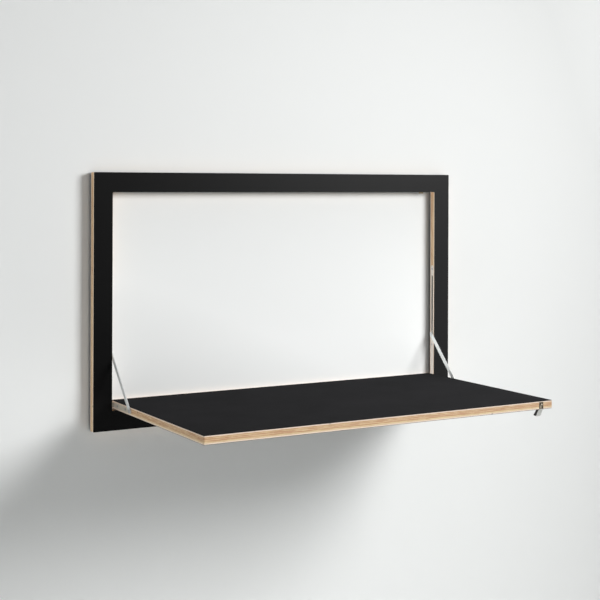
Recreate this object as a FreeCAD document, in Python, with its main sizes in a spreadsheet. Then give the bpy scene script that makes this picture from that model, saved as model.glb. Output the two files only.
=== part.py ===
"""Fold-down wall desk.

A sheet of laminated plywood is cut into a frame and a flap.  The flap turns on two short pins low in
the frame's opening: down, it is a table top, and up, it fills the opening flush.  On each side a flat
stay runs from the flap's edge to a guide that slides in a slotted rail let into the stile.  A snap
latch in the flap's front edge holds it closed, and keyhole plates let into the back hang the desk on
four wall screws, off the wall by the thickness of its rubber buffers.

Part frame, in millimetres: +X right, +Y into the wall, +Z up.  The origin is the middle of the frame's
back face, which is also the middle of the four keyholes.  The flap is modelled down.
"""
import FreeCAD, Part
import math
import os

import Sketcher

SIZES = [
    ("frame_width", 1000),
    ("frame_height", 595),
    ("frame_border", 46),
    ("board_thickness", 19),
    ("laminate_thickness", 0.8),
    ("laminate_ease", 0.25),
    ("outer_corner_radius", 2),
    ("opening_corner_radius", 2.5),
    ("flap_gap", 5),
    ("hinge_setback", 8),
    ("seat_clearance", 0.02),
    ("running_clearance", 0.05),
    ("screw_clearance", 0.05),
    ("edge_break", 0.4),
    ("hinge_pin_radius", 3),
    ("hinge_pin_in_flap", 14),
    ("hinge_pin_end_play", 1),
    ("bush_wall", 1.45),
    ("bush_length", 14),
    ("bush_hole_play", 0.3),
    ("washer_radius", 5.5),
    ("washer_play", 0.3),
    ("rail_width", 12),
    ("rail_thickness", 2),
    ("rail_drop", 4),
    ("rail_screw_below_slot", 21),
    ("rail_screw_above_slot", 17),
    ("rail_end_land", 4),
    ("slot_width", 6),
    ("slot_play", 0.2),
    ("slot_end_play", 0.5),
    ("stay_reach", 106.5),
    ("stay_height", 113.5),
    ("stay_width", 10),
    ("stay_thickness", 2),
    ("stay_gap", 1),
    ("stay_pivot_radius", 2.5),
    ("stay_pivot_length", 10),
    ("stay_pivot_head_radius", 4.5),
    ("stay_pivot_head", 0.9),
    ("stay_play", 0.2),
    ("stay_rivet_radius", 2),
    ("stay_rivet_head_radius", 3.6),
    ("stay_rivet_head", 0.6),
    ("neck_length", 13),
    ("neck_setback", 0.1),
    ("block_width", 8.4),
    ("block_length", 22),
    ("block_depth", 5.5),
    ("block_play", 0.3),
    ("stud_radius", 2),
    ("stud_depth", 6),
    ("stud_flange_radius", 4),
    ("stud_flange", 0.8),
    ("stud_flange_gap", 0.3),
    ("open_pivot_gap", 0.35),
    ("hinge_plate_width", 12),
    ("hinge_plate_thickness", 2.5),
    ("hinge_plate_screw_setback", 30),
    ("plate_screw_head_radius", 3),
    ("plate_screw_shank_radius", 1.5),
    ("plate_screw_length", 14),
    ("plate_screw_recess_reach", 1.7),
    ("plate_screw_recess_half_width", 0.4),
    ("plate_screw_recess_depth", 1),
    ("latch_screw_head_radius", 2),
    ("latch_screw_shank_radius", 1),
    ("latch_screw_length", 10),
    ("latch_screw_recess_reach", 1.1),
    ("latch_screw_recess_half_width", 0.3),
    ("latch_screw_recess_depth", 0.7),
    ("hanger_inset", 150),
    ("hanger_length", 50),
    ("hanger_height", 22),
    ("hanger_thickness", 2),
    ("hanger_offset", 3),
    ("hanger_screw_spacing", 38),
    ("hanger_screw_length", 12),
    ("keyhole_radius", 5),
    ("keyhole_slot_radius", 2.5),
    ("keyhole_rise", 9),
    ("head_pocket_radius", 6),
    ("head_pocket_depth", 6),
    ("buffer_inset", 23),
    ("buffer_radius", 7),
    ("buffer_thickness", 6),
    ("buffer_edge", 1),
    ("buffer_stem_radius", 3),
    ("buffer_stem_length", 8),
    ("latch_inset", 33),
    ("case_width", 12.8),
    ("case_height", 17),
    ("case_depth", 15),
    ("case_wall", 1.5),
    ("case_throat", 11.5),
    ("cheek_notch_depth", 6.8),
    ("cheek_notch_height", 1.9),
    ("case_screw_spacing", 5.3),
    ("case_screw_height", 12.5),
    ("latch_pivot_back", 6),
    ("latch_pivot_up", 6),
    ("latch_pin_radius", 1.25),
    ("latch_pin_recess", 0.2),
    ("lever_play", 0.35),
    ("lever_wall", 1.2),
    ("tab_gap", 0.4),
    ("tab_drop", 15.3),
    ("tab_slant", 7),
    ("tab_depth", 7.5),
    ("tab_width", 12.4),
    ("tab_end_width", 8.6),
    ("tab_corner_radius", 2.4),
    ("tab_bevel", 1.4),
    ("finger_hollow_radius", 26),
    ("finger_hollow_depth", 0.6),
    ("ear_radius", 3.6),
    ("tongue_width", 5),
    ("nose_reach", 3),
    ("nose_low", 10.3),
    ("nose_high", 13.4),
    ("nose_land", 2),
    ("nose_crest", 0.6),
    ("nose_undercut", 0.4),
    ("spring_radius", 2.2),
    ("spring_wire_radius", 0.4),
    ("spring_pitch", 1),
    ("spring_turns", 3),
    ("spring_leg", 6.6),
    ("keeper_length", 32),
    ("keeper_width", 13),
    ("keeper_thickness", 1.5),
    ("keeper_screw_spacing", 22),
    ("lip_length", 14),
    ("lip_thickness", 1.6),
    ("lip_drop", 3.5),
    ("lip_gap", 0.7),
]

LAYOUT = [
    ("core", "board_thickness - 2 * laminate_thickness"),
    ("mid_depth", "board_thickness / 2"),
    ("opening_side", "frame_width / 2 - frame_border"),
    ("opening_top", "frame_height / 2 - frame_border"),
    ("hinge_level", "-opening_top + flap_gap + hinge_setback"),
    ("flap_side", "opening_side - flap_gap"),
    ("flap_length", "2 * opening_top - 2 * flap_gap"),
    ("flap_rear", "hinge_setback - mid_depth"),
    ("flap_front", "flap_rear - flap_length"),
    ("flap_underside", "hinge_level - mid_depth"),
    ("bush_radius", "hinge_pin_radius + running_clearance + bush_wall"),
    ("stay_length", "sqrt(stay_reach ^ 2 + stay_height ^ 2)"),
    ("stay_level", "hinge_level + stay_height"),
    ("stay_foot", "-mid_depth - stay_reach"),
    ("stay_inner", "flap_side + stay_gap"),
    ("slot_low", "stay_height - neck_length / 2"),
    ("slot_high", "stay_reach + stay_length + neck_length / 2 + slot_end_play"),
    ("rail_screw_low", "slot_low - rail_screw_below_slot"),
    ("rail_screw_high", "slot_high + rail_screw_above_slot"),
    ("rail_rise", "rail_screw_high + rail_end_land"),
    ("hinge_plate_screw_near", "hinge_plate_screw_setback"),
    ("hinge_plate_screw_far", "stay_reach - hinge_plate_screw_setback"),
    ("track_radius", "block_width / 2 + block_play"),
    ("track_low", "stay_height - block_length / 2 - slot_end_play"),
    ("track_high", "stay_reach + stay_length + block_length / 2 + 2 * slot_end_play"),
    ("track_depth", "rail_thickness + block_depth + 2 * block_play"),
    ("hanger_x", "frame_width / 2 - hanger_inset"),
    ("hanger_level", "(frame_height - frame_border) / 2"),
    ("buffer_x", "frame_width / 2 - buffer_inset"),
    ("buffer_z", "frame_height / 2 - buffer_inset"),
    ("latch_x", "flap_side - latch_inset"),
    ("case_half", "case_width / 2 - case_wall"),
    ("lever_width", "2 * case_half - 2 * lever_play"),
    ("lip_back", "nose_low - board_thickness / 2 - lip_gap"),
]

PLATE_SCREW_HOLE = "plate_screw_shank_radius + screw_clearance"
LATCH_SCREW_HOLE = "latch_screw_shank_radius + screw_clearance"
RAIL_SCREWS = ("rail_screw_low", "rail_screw_high")
HINGE_PLATE_SCREWS = ("hinge_plate_screw_near", "hinge_plate_screw_far")

V = FreeCAD.Vector
X_AXIS = V(1, 0, 0)
Y_AXIS = V(0, 1, 0)
Z_AXIS = V(0, 0, 1)
LEAST_CUT = 0.01
NEAR = 1e-6
RIGHT = 1
LEFT = -1
SIDES = ((LEFT, "left"), (RIGHT, "right"))
# A piece's local +Z runs along its own axis.  Each of these turns it to where it lies.
OUTWARD = {RIGHT: FreeCAD.Rotation(Y_AXIS, 90), LEFT: FreeCAD.Rotation(Y_AXIS, -90)}
UPRIGHT = {RIGHT: FreeCAD.Rotation(), LEFT: FreeCAD.Rotation(Z_AXIS, 180)}
ALONG_FLAP = {side: FreeCAD.Rotation(X_AXIS, 90) * UPRIGHT[side] for side in UPRIGHT}
HEAD_FROM_BACK = FreeCAD.Rotation(X_AXIS, -90)
HEAD_FROM_FRONT = FreeCAD.Rotation(X_AXIS, 90)
HEAD_FROM_BELOW = FreeCAD.Rotation(X_AXIS, 180)
HEAD_FROM_OPENING = FreeCAD.Rotation(Y_AXIS, -90)

doc = FreeCAD.newDocument("fold_down_wall_desk")


# ---- sizes ---------------------------------------------------------------------------------------

def make_sizes():
    """The driving sizes in one sheet, and what follows from them in another."""
    sizes = doc.addObject("Spreadsheet::Sheet", "Sizes")
    for row, (alias, value) in enumerate(SIZES, start=1):
        sizes.set("A%d" % row, str(value))
        sizes.setAlias("A%d" % row, alias)
    doc.recompute()
    layout = doc.addObject("Spreadsheet::Sheet", "Layout")
    for row, (alias, formula) in enumerate(LAYOUT, start=1):
        layout.set("A%d" % row, "=" + bound(formula, skip=alias))
        layout.setAlias("A%d" % row, alias)
        doc.recompute()


def bound(formula, skip=""):
    """The formula with each size's alias led by the name of the sheet that holds it."""
    own = {alias: "Sizes." for alias, _ in SIZES}
    own.update({alias: "Layout." for alias, _ in LAYOUT if alias != skip})
    words = []
    word = ""
    for letter in formula + " ":
        if letter.isalnum() or letter == "_":
            word += letter
            continue
        words.append(own.get(word, "") + word + letter)
        word = ""
    return "".join(words).strip()


def value_of(host, formula):
    value = host.evalExpression(bound(formula))
    return float(getattr(value, "Value", value))


def bind(host, path, formula):
    host.setExpression(path, bound(formula))


# ---- sketches ------------------------------------------------------------------------------------

def new_body(label):
    body = doc.addObject("PartDesign::Body", label)
    body.Label = label
    return body


def datum(body, role):
    return next(feature for feature in body.Origin.OriginFeatures if feature.Role == role)


def new_sketch(body, name, role, offset="0"):
    """A sketch on one of the body's origin planes, moved along the plane's normal."""
    sketch = body.newObject("Sketcher::SketchObject", name)
    sketch.AttachmentSupport = (datum(body, role), [""])
    sketch.MapMode = "FlatFace"
    bind(sketch, "AttachmentOffset.Base.z", offset)
    return sketch


def constrain(sketch, kind, formula, *where):
    index = sketch.addConstraint(Sketcher.Constraint(kind, *where, value_of(sketch, formula)))
    bind(sketch, "Constraints[%d]" % index, formula)


def fix_point(sketch, geometry, position, across, up):
    constrain(sketch, "DistanceX", across, geometry, position)
    constrain(sketch, "DistanceY", up, geometry, position)


def draw_polygon(sketch, points):
    corners = [V(value_of(sketch, across), value_of(sketch, up), 0) for across, up in points]
    count = len(corners)
    first = sketch.GeometryCount
    for index, corner in enumerate(corners):
        sketch.addGeometry(Part.LineSegment(corner, corners[(index + 1) % count]))
    for index in range(count):
        following = first + (index + 1) % count
        sketch.addConstraint(Sketcher.Constraint("Coincident", first + index, 2, following, 1))
    for index, (across, up) in enumerate(points):
        fix_point(sketch, first + index, 1, across, up)


def draw_rectangle(sketch, left, low, right, high):
    draw_polygon(sketch, [(left, low), (right, low), (right, high), (left, high)])


def draw_circle(sketch, across, up, radius):
    centre = V(value_of(sketch, across), value_of(sketch, up), 0)
    circle = sketch.addGeometry(Part.Circle(centre, Z_AXIS, value_of(sketch, radius)))
    fix_point(sketch, circle, 3, across, up)
    constrain(sketch, "Radius", radius, circle)


def draw_stadium(sketch, start, end, radius):
    """A slot shape: a half circle round each of the two centres and two straight sides."""
    first = V(value_of(sketch, start[0]), value_of(sketch, start[1]), 0)
    last = V(value_of(sketch, end[0]), value_of(sketch, end[1]), 0)
    size = value_of(sketch, radius)
    along = (last - first).getAngle(X_AXIS)
    aside = Z_AXIS.cross(last - first).normalize() * size
    quarter = math.pi / 2
    cap = sketch.addGeometry(
        Part.ArcOfCircle(Part.Circle(last, Z_AXIS, size), along - quarter, along + quarter))
    side = sketch.addGeometry(Part.LineSegment(last + aside, first + aside))
    foot = sketch.addGeometry(
        Part.ArcOfCircle(Part.Circle(first, Z_AXIS, size), along + quarter, along + 3 * quarter))
    back = sketch.addGeometry(Part.LineSegment(first - aside, last - aside))
    for one, other in ((cap, side), (side, foot), (foot, back), (back, cap)):
        sketch.addConstraint(Sketcher.Constraint("Tangent", one, 2, other, 1))
    fix_point(sketch, cap, 3, *end)
    fix_point(sketch, foot, 3, *start)
    constrain(sketch, "Radius", radius, cap)
    constrain(sketch, "Radius", radius, foot)


# ---- features ------------------------------------------------------------------------------------

def pad(body, sketch, length, backwards=False, midplane=False):
    feature = body.newObject("PartDesign::Pad", sketch.Name + "_pad")
    feature.Profile = sketch
    feature.Reversed = backwards
    feature.Midplane = midplane
    bind(feature, "Length", length)
    doc.recompute()
    return feature


def cut(body, sketch, depth, forwards=False, midplane=False):
    """A pocket, refused if it takes nothing away because it points out of the solid.

    Forwards is along the normal of the sketch's plane, which is -Y for the XZ plane.
    """
    before = body.Shape.Volume
    feature = body.newObject("PartDesign::Pocket", sketch.Name + "_cut")
    feature.Profile = sketch
    feature.Reversed = forwards
    feature.Midplane = midplane
    bind(feature, "Length", depth)
    doc.recompute()
    if feature.Shape.Volume > before - LEAST_CUT:
        raise RuntimeError(feature.Name + " cuts nothing")
    return feature


def mirror_across(body, features):
    """The same features again on the other side of the body's YZ plane."""
    mirrored = body.newObject("PartDesign::Mirrored", "mirrored_side")
    mirrored.Originals = features
    mirrored.MirrorPlane = (datum(body, "YZ_Plane"), [""])
    body.Tip = mirrored
    doc.recompute()


def edges_where(body, test):
    return ["Edge%d" % number for number, edge in enumerate(body.Shape.Edges, start=1) if test(edge)]


def dress(body, kind, edges, size_property, formula):
    dressed = body.Tip
    feature = body.newObject(kind, body.Name + "_" + size_property.lower())
    feature.Base = (dressed, edges)
    bind(feature, size_property, formula)
    body.Tip = feature
    doc.recompute()


def round_edges(body, test, radius):
    dress(body, "PartDesign::Fillet", edges_where(body, test), "Radius", radius)


def ease_rim(body, axis, level):
    """Breaks every edge of the flat face that lies square to an axis at a level."""
    index = "xyz".index(axis)
    height = value_of(body, level)

    def in_face(edge):
        points = [vertex.Point for vertex in edge.Vertexes] + [edge.CenterOfMass]
        return all(abs(point[index] - height) < NEAR for point in points)

    dress(body, "PartDesign::Chamfer", edges_where(body, in_face), "Size", "laminate_ease")


def countersink(body, screw, test):
    """Bevels the rims of a screw's holes so that its head sits flush."""
    radius = value_of(body, screw + "_shank_radius + screw_clearance")

    def is_rim(edge):
        curve = edge.Curve
        return isinstance(curve, Part.Circle) and abs(curve.Radius - radius) < NEAR and test(curve.Center)

    flare = "%s_head_radius - %s_shank_radius" % (screw, screw)
    dress(body, "PartDesign::Chamfer", edges_where(body, is_rim), "Size", flare)


def runs_along(edge, axis):
    """Whether a straight edge is parallel to the axis."""
    return isinstance(edge.Curve, Part.Line) and abs(edge.Curve.Direction.dot(axis)) > 1 - NEAR


def turned(body, name, points):
    """A solid of revolution about the body's Z axis, from its half outline of radius and height."""
    sketch = new_sketch(body, name, "XZ_Plane")
    draw_polygon(sketch, points)
    doc.recompute()
    feature = body.newObject("PartDesign::Revolution", name + "_turned")
    feature.Profile = sketch
    feature.ReferenceAxis = (sketch, ["V_Axis"])
    feature.Angle = 360
    doc.recompute()
    return feature


def ring(label, inner, outer, low, high):
    """A washer, bush or sleeve with its rims broken."""
    body = new_body(label)
    turned(body, label + "_outline", [
        (inner, low),
        (outer + " - edge_break", low),
        (outer, low + " + edge_break"),
        (outer, high + " - edge_break"),
        (outer + " - edge_break", high),
        (inner, high)])
    return body


def stand(body, turn, across, depth, level):
    """Turns the body and puts its origin at the place that the sizes give."""
    body.Placement = FreeCAD.Placement(V(0, 0, 0), turn)
    bind(body, "Placement.Base.x", across)
    bind(body, "Placement.Base.y", depth)
    bind(body, "Placement.Base.z", level)
    return body


def on_side(side, formula):
    return "%d * (%s)" % (side, formula)


# ---- screws --------------------------------------------------------------------------------------

def screws(label, kind, length, turn, place, rows, top="0", mirrored=False):
    """Countersunk screws of one kind as one body: the first at the place, the rest by rows of two.

    Each row is an axis of the turned body and a spacing.  The screws point down the body's Z axis
    with their heads at the top, and mirroring repeats them on the other side of its XY plane.
    """
    body = new_body(label)
    body.AllowCompound = True
    head = kind + "_head_radius"
    shank = kind + "_shank_radius"
    neck = "%s - (%s - %s)" % (top, head, shank)
    outline = turned(body, label + "_outline", [
        ("0", top),
        (head, top),
        (shank, neck),
        (shank, "%s - %s + 2 * %s" % (top, length, shank)),
        ("0", "%s - %s" % (top, length))])
    cross = new_sketch(body, label + "_cross", "XY_Plane", top)
    arm = kind + "_recess_reach"
    half = kind + "_recess_half_width"
    corners = [(arm, half), (half, half), (half, arm)]
    quarters = [("", ""), ("-", ""), ("-", "-"), ("", "-")]
    points = []
    for turn_number, (flip_x, flip_y) in enumerate(quarters):
        ordered = corners if turn_number % 2 == 0 else corners[::-1]
        points += [(flip_x + across, flip_y + up) for across, up in ordered]
    draw_polygon(cross, points)
    recess = cut(body, cross, kind + "_recess_depth")
    repeats = []
    for index, (axis, spacing) in enumerate(rows):
        row = doc.addObject("PartDesign::LinearPattern", "%s_row_%d" % (label, index))
        row.Direction = (datum(body, axis), [""])
        row.Occurrences = 2
        bind(row, "Length", spacing)
        repeats.append(row)
    if mirrored:
        twin = doc.addObject("PartDesign::Mirrored", label + "_twin")
        twin.MirrorPlane = (datum(body, "XY_Plane"), [""])
        repeats.append(twin)
    pattern = body.newObject("PartDesign::MultiTransform", label + "_pattern")
    pattern.Originals = [outline, recess]
    pattern.Transformations = repeats
    body.Tip = pattern
    return stand(body, turn, *place)


# ---- frame ---------------------------------------------------------------------------------------

def frame_sheet(label, front, thickness):
    """One layer of the frame, its front face at a depth behind the room face of the board."""
    body = new_body(label)
    outline = new_sketch(body, label + "_outline", "XZ_Plane", "board_thickness - (%s)" % front)
    draw_rectangle(outline, "-frame_width / 2", "-frame_height / 2", "frame_width / 2", "frame_height / 2")
    draw_rectangle(outline, "-opening_side", "-opening_top", "opening_side", "opening_top")
    pad(body, outline, thickness, backwards=True)
    inner = value_of(body, "opening_side") + NEAR
    round_edges(body, lambda edge: runs_along(edge, Y_AXIS) and abs(edge.CenterOfMass.x) > inner,
                "outer_corner_radius")
    round_edges(body, lambda edge: runs_along(edge, Y_AXIS) and abs(edge.CenterOfMass.x) < inner,
                "opening_corner_radius")
    return body


def each_hanger():
    """The middle of each keyhole's round entry."""
    for across in ("-hanger_x", "hanger_x"):
        for level in ("-hanger_level", "hanger_level"):
            yield across, level


def cut_hanger_seats(body, depth):
    seats = new_sketch(body, body.Name + "_hanger_seats", "XZ_Plane")
    for across, level in each_hanger():
        draw_stadium(seats, hanger_end(across, level, "-"), hanger_end(across, level, "+"),
                     "hanger_height / 2")
    cut(body, seats, depth, forwards=True)


def hanger_end(across, level, sign):
    """The centre of one rounded end of a keyhole plate."""
    return ("%s %s (hanger_length - hanger_height) / 2" % (across, sign), level + " + hanger_offset")


def cut_buffer_holes(body, depth):
    holes = new_sketch(body, body.Name + "_buffer_holes", "XZ_Plane")
    for across in ("-buffer_x", "buffer_x"):
        for level in ("-buffer_z", "buffer_z"):
            draw_circle(holes, across, level, "buffer_stem_radius + seat_clearance")
    cut(body, holes, depth, forwards=True)


def frame_board():
    body = frame_sheet("frame_board", "laminate_thickness", "core")
    seat = new_sketch(body, "rail_seat", "YZ_Plane", "opening_side")
    draw_stadium(seat, ("-mid_depth", "hinge_level - rail_drop"), ("-mid_depth", "hinge_level + rail_rise"),
                 "rail_width / 2 + seat_clearance")
    track = new_sketch(body, "guide_track", "YZ_Plane", "opening_side")
    draw_stadium(track, ("-mid_depth", "hinge_level + track_low + track_radius"),
                 ("-mid_depth", "hinge_level + track_high - track_radius"), "track_radius")
    bore = new_sketch(body, "bush_bore", "YZ_Plane", "opening_side")
    draw_circle(bore, "-mid_depth", "hinge_level", "bush_radius + seat_clearance")
    pilots = new_sketch(body, "rail_pilots", "YZ_Plane", "opening_side")
    for rise in RAIL_SCREWS:
        draw_circle(pilots, "-mid_depth", "hinge_level + " + rise, PLATE_SCREW_HOLE)
    one_side = [
        cut(body, seat, "rail_thickness", forwards=True),
        cut(body, track, "track_depth", forwards=True),
        cut(body, bore, "bush_length + bush_hole_play", forwards=True),
        cut(body, pilots, "plate_screw_length", forwards=True)]
    mirror_across(body, one_side)
    cut_hanger_seats(body, "hanger_thickness")
    pockets = new_sketch(body, "screw_head_pockets", "XZ_Plane")
    holes = new_sketch(body, "hanger_pilots", "XZ_Plane")
    for across, level in each_hanger():
        draw_stadium(pockets, (across, level), (across, level + " + keyhole_rise"), "head_pocket_radius")
        for sign in "-+":
            draw_circle(holes, "%s %s hanger_screw_spacing / 2" % (across, sign), level + " + hanger_offset",
                        PLATE_SCREW_HOLE)
    cut(body, pockets, "hanger_thickness + head_pocket_depth", forwards=True)
    cut(body, holes, "hanger_screw_length", forwards=True)
    cut_buffer_holes(body, "buffer_stem_length")
    keeper_seat = new_sketch(body, "keeper_seat", "XY_Plane", "opening_top")
    draw_rectangle(keeper_seat, "latch_x - keeper_length / 2", "-mid_depth - keeper_width / 2",
                   "latch_x + keeper_length / 2", "-mid_depth + keeper_width / 2")
    cut(body, keeper_seat, "keeper_thickness", forwards=True)
    keeper_pilots = new_sketch(body, "keeper_pilots", "XY_Plane", "opening_top")
    for sign in "-+":
        draw_circle(keeper_pilots, "latch_x %s keeper_screw_spacing / 2" % sign, "-mid_depth",
                    LATCH_SCREW_HOLE)
    cut(body, keeper_pilots, "latch_screw_length", forwards=True)
    return body


def frame_back_laminate():
    body = frame_sheet("frame_back_laminate", "board_thickness - laminate_thickness", "laminate_thickness")
    ease_rim(body, "y", "0")
    cut_hanger_seats(body, "laminate_thickness")
    cut_buffer_holes(body, "laminate_thickness")
    return body


def slide_rail(side, name):
    """A slotted steel strip, flush in the stile, which also holds the hinge bush."""
    body = new_body("slide_rail_" + name)
    outline = new_sketch(body, body.Name + "_outline", "YZ_Plane")
    draw_stadium(outline, ("0", "-rail_drop"), ("0", "rail_rise"), "rail_width / 2")
    draw_circle(outline, "0", "0", "bush_radius + seat_clearance")
    draw_stadium(outline, ("0", "slot_low + slot_width / 2"), ("0", "slot_high - slot_width / 2"),
                 "slot_width / 2")
    for rise in RAIL_SCREWS:
        draw_circle(outline, "0", rise, PLATE_SCREW_HOLE)
    pad(body, outline, "rail_thickness")
    countersink(body, "plate_screw", lambda centre: abs(centre.x) < NEAR)
    return stand(body, UPRIGHT[side], on_side(side, "opening_side"), "-mid_depth", "hinge_level")


def hinge_bush(side, name):
    body = ring("hinge_bush_" + name, "hinge_pin_radius + running_clearance", "bush_radius", "0",
                "bush_length")
    return stand(body, OUTWARD[side], on_side(side, "opening_side"), "-mid_depth", "hinge_level")


def hanger_plate(name, across, level):
    """A keyhole plate: the wall screw's head goes in at the round entry and up into the slot."""
    body = new_body("hanger_plate_" + name)
    outline = new_sketch(body, body.Name + "_outline", "XZ_Plane")
    draw_stadium(outline, hanger_end("0", "0", "-"), hanger_end("0", "0", "+"), "hanger_height / 2")
    for sign in "-+":
        draw_circle(outline, sign + "hanger_screw_spacing / 2", "hanger_offset",
                    PLATE_SCREW_HOLE)
    pad(body, outline, "hanger_thickness")
    entry = new_sketch(body, body.Name + "_entry", "XZ_Plane")
    draw_circle(entry, "0", "0", "keyhole_radius")
    cut(body, entry, "hanger_thickness", forwards=True)
    slot = new_sketch(body, body.Name + "_slot", "XZ_Plane")
    draw_stadium(slot, ("0", "0"), ("0", "keyhole_rise"), "keyhole_slot_radius")
    cut(body, slot, "hanger_thickness", forwards=True)
    countersink(body, "plate_screw", lambda centre: abs(centre.y) < NEAR)
    return stand(body, UPRIGHT[RIGHT], across, "0", level)


def wall_buffer(name, across, level):
    """A rubber foot with a stem pushed into the back of the frame."""
    body = new_body("wall_buffer_" + name)
    turned(body, body.Name + "_outline", [
        ("0", "-buffer_stem_length"),
        ("buffer_stem_radius - edge_break", "-buffer_stem_length"),
        ("buffer_stem_radius", "edge_break - buffer_stem_length"),
        ("buffer_stem_radius", "0"),
        ("buffer_radius", "0"),
        ("buffer_radius", "buffer_thickness - buffer_edge"),
        ("buffer_radius - buffer_edge", "buffer_thickness"),
        ("0", "buffer_thickness")])
    return stand(body, HEAD_FROM_BACK, across, "0", level)


def latch_keeper():
    """A plate let into the top rail's lower edge, with a lip that the latch's nose snaps behind."""
    body = new_body("latch_keeper")
    plate = new_sketch(body, "keeper_plate", "XY_Plane")
    draw_rectangle(plate, "-keeper_length / 2", "-keeper_width / 2", "keeper_length / 2", "keeper_width / 2")
    for sign in "-+":
        draw_circle(plate, sign + "keeper_screw_spacing / 2", "0", LATCH_SCREW_HOLE)
    pad(body, plate, "keeper_thickness")
    lip = new_sketch(body, "keeper_lip", "XY_Plane")
    draw_rectangle(lip, "-lip_length / 2", "lip_back - lip_thickness", "lip_length / 2", "lip_back")
    pad(body, lip, "lip_drop", backwards=True)
    low = value_of(body, "-lip_drop")
    round_edges(body, lambda edge: runs_along(edge, X_AXIS) and abs(edge.CenterOfMass.z - low) < NEAR,
                "edge_break")
    countersink(body, "latch_screw", lambda centre: abs(centre.z) < NEAR)
    return stand(body, UPRIGHT[RIGHT], "latch_x", "-mid_depth", "opening_top")


def make_frame():
    ease_rim(frame_sheet("frame_front_laminate", "0", "laminate_thickness"), "y", "-board_thickness")
    frame_board()
    frame_back_laminate()
    for side, name in SIDES:
        slide_rail(side, name)
        hinge_bush(side, name)
    screws("slide_rail_screws", "plate_screw", "plate_screw_length", HEAD_FROM_OPENING,
           ("0", "-mid_depth", "hinge_level + rail_screw_low"),
           [("X_Axis", "rail_screw_high - rail_screw_low")], top="-opening_side", mirrored=True)
    for across_name, across_sign in (("left", "-"), ("right", "")):
        for level_name, level_sign in (("bottom", "-"), ("top", "")):
            corner = level_name + "_" + across_name
            hanger_plate(corner, across_sign + "hanger_x", level_sign + "hanger_level")
            wall_buffer(corner, across_sign + "buffer_x", level_sign + "buffer_z")
    screws("hanger_plate_screws", "plate_screw", "hanger_screw_length", HEAD_FROM_BACK,
           ("-hanger_x - hanger_screw_spacing / 2", "0", "hanger_level + hanger_offset"),
           [("X_Axis", "hanger_screw_spacing"), ("X_Axis", "2 * hanger_x"), ("Y_Axis", "2 * hanger_level")])
    latch_keeper()
    screws("latch_keeper_screws", "latch_screw", "latch_screw_length", HEAD_FROM_BELOW,
           ("latch_x - keeper_screw_spacing / 2", "-mid_depth", "opening_top"),
           [("X_Axis", "keeper_screw_spacing")])


# ---- flap ----------------------------------------------------------------------------------------

def flap_sheet(label, low, thickness):
    """One layer of the flap, its lower face at a height above the flap's underside."""
    body = new_body(label)
    outline = new_sketch(body, label + "_outline", "XY_Plane", "flap_underside + " + low)
    draw_rectangle(outline, "-flap_side", "flap_front", "flap_side", "flap_rear")
    pad(body, outline, thickness)
    round_edges(body, lambda edge: runs_along(edge, Z_AXIS), "outer_corner_radius")
    return body


def cut_latch_seat(body, height):
    seat = new_sketch(body, body.Name + "_latch_seat", "XZ_Plane", "-flap_front")
    draw_rectangle(seat, "latch_x - case_width / 2 - seat_clearance", "flap_underside",
                   "latch_x + case_width / 2 + seat_clearance", "flap_underside + " + height)
    cut(body, seat, "case_depth + seat_clearance")


def flap_board():
    body = flap_sheet("flap_board", "laminate_thickness", "core")
    seat = new_sketch(body, "hinge_plate_seat", "YZ_Plane", "flap_side")
    draw_stadium(seat, ("-mid_depth", "hinge_level"), ("stay_foot", "hinge_level"),
                 "hinge_plate_width / 2 + seat_clearance")
    pin_bore = new_sketch(body, "hinge_pin_bore", "YZ_Plane", "flap_side")
    draw_circle(pin_bore, "-mid_depth", "hinge_level", "hinge_pin_radius + seat_clearance")
    pivot_bore = new_sketch(body, "stay_pivot_bore", "YZ_Plane", "flap_side")
    draw_circle(pivot_bore, "stay_foot", "hinge_level", "stay_pivot_radius + seat_clearance")
    pilots = new_sketch(body, "hinge_plate_pilots", "YZ_Plane", "flap_side")
    for reach in HINGE_PLATE_SCREWS:
        draw_circle(pilots, "-mid_depth - " + reach, "hinge_level", PLATE_SCREW_HOLE)
    one_side = [
        cut(body, seat, "hinge_plate_thickness"),
        cut(body, pin_bore, "hinge_pin_in_flap"),
        cut(body, pivot_bore, "stay_pivot_length"),
        cut(body, pilots, "plate_screw_length")]
    mirror_across(body, one_side)
    cut_latch_seat(body, "case_height + seat_clearance")
    case_pilots = new_sketch(body, "latch_case_pilots", "XZ_Plane", "-flap_front")
    for sign in "-+":
        draw_circle(case_pilots, "latch_x %s case_screw_spacing / 2" % sign,
                    "flap_underside + case_screw_height", LATCH_SCREW_HOLE)
    cut(body, case_pilots, "case_depth - case_wall + latch_screw_length")
    return body


def flap_bottom_laminate():
    body = flap_sheet("flap_bottom_laminate", "0", "laminate_thickness")
    ease_rim(body, "z", "flap_underside")
    cut_latch_seat(body, "laminate_thickness")
    return body


def hinge_plate(side, name):
    """A steel strip, flush in the flap's end, that carries the hinge pin and the stay's pivot."""
    body = new_body("hinge_plate_" + name)
    outline = new_sketch(body, body.Name + "_outline", "YZ_Plane")
    draw_stadium(outline, ("0", "0"), ("0", "stay_reach"), "hinge_plate_width / 2")
    draw_circle(outline, "0", "0", "hinge_pin_radius + seat_clearance")
    draw_circle(outline, "0", "stay_reach", "stay_pivot_radius + seat_clearance")
    for reach in HINGE_PLATE_SCREWS:
        draw_circle(outline, "0", reach, PLATE_SCREW_HOLE)
    pad(body, outline, "hinge_plate_thickness", backwards=True)
    countersink(body, "plate_screw", lambda centre: abs(centre.x) < NEAR)
    return stand(body, ALONG_FLAP[side], on_side(side, "flap_side"), "-mid_depth", "hinge_level")


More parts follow.
